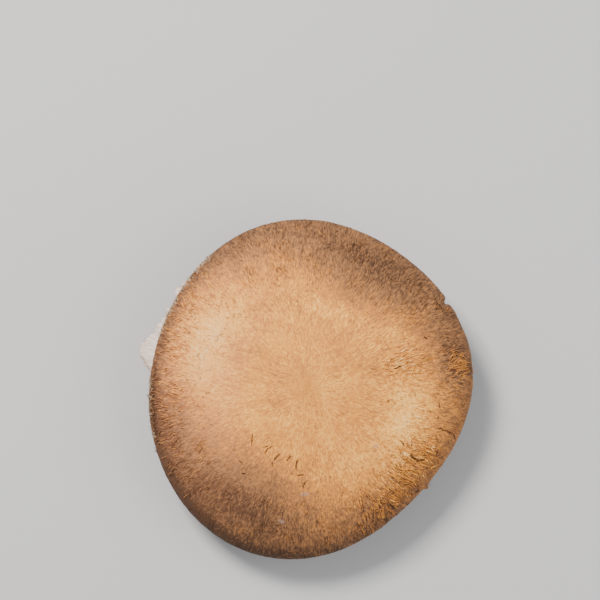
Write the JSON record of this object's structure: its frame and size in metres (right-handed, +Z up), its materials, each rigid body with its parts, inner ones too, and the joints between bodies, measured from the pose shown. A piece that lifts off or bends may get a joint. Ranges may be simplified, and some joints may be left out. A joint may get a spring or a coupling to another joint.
{
  "type": "portobello mushroom",
  "caption": "Whole portobello mushroom with a broad domed brown cap, dark free gills, a short cut stem with a ring, and a torn shred of veil under the rim; stands on its stem.",
  "frame": {"origin": "centre of the stem's cut face, on the surface that the mushroom stands on", "axes": "+Z up through the crown of the cap, +Y towards the side where the rim stands higher, +X to the right of that as seen from above"},
  "size_m": [0.126, 0.1287, 0.0459],
  "materials": {
    "cap_skin": "matt tan-brown skin with fine radial fibres",
    "gill": "matt dark brown",
    "stem_flesh": "matt cream with brown fibres",
    "veil": "matt pale felt"
  },
  "bodies": {
    "root": {"cap": "cap_skin", "gills": "gill", "stem": "stem_flesh", "veil": "veil"}
  },
  "joints": []
}
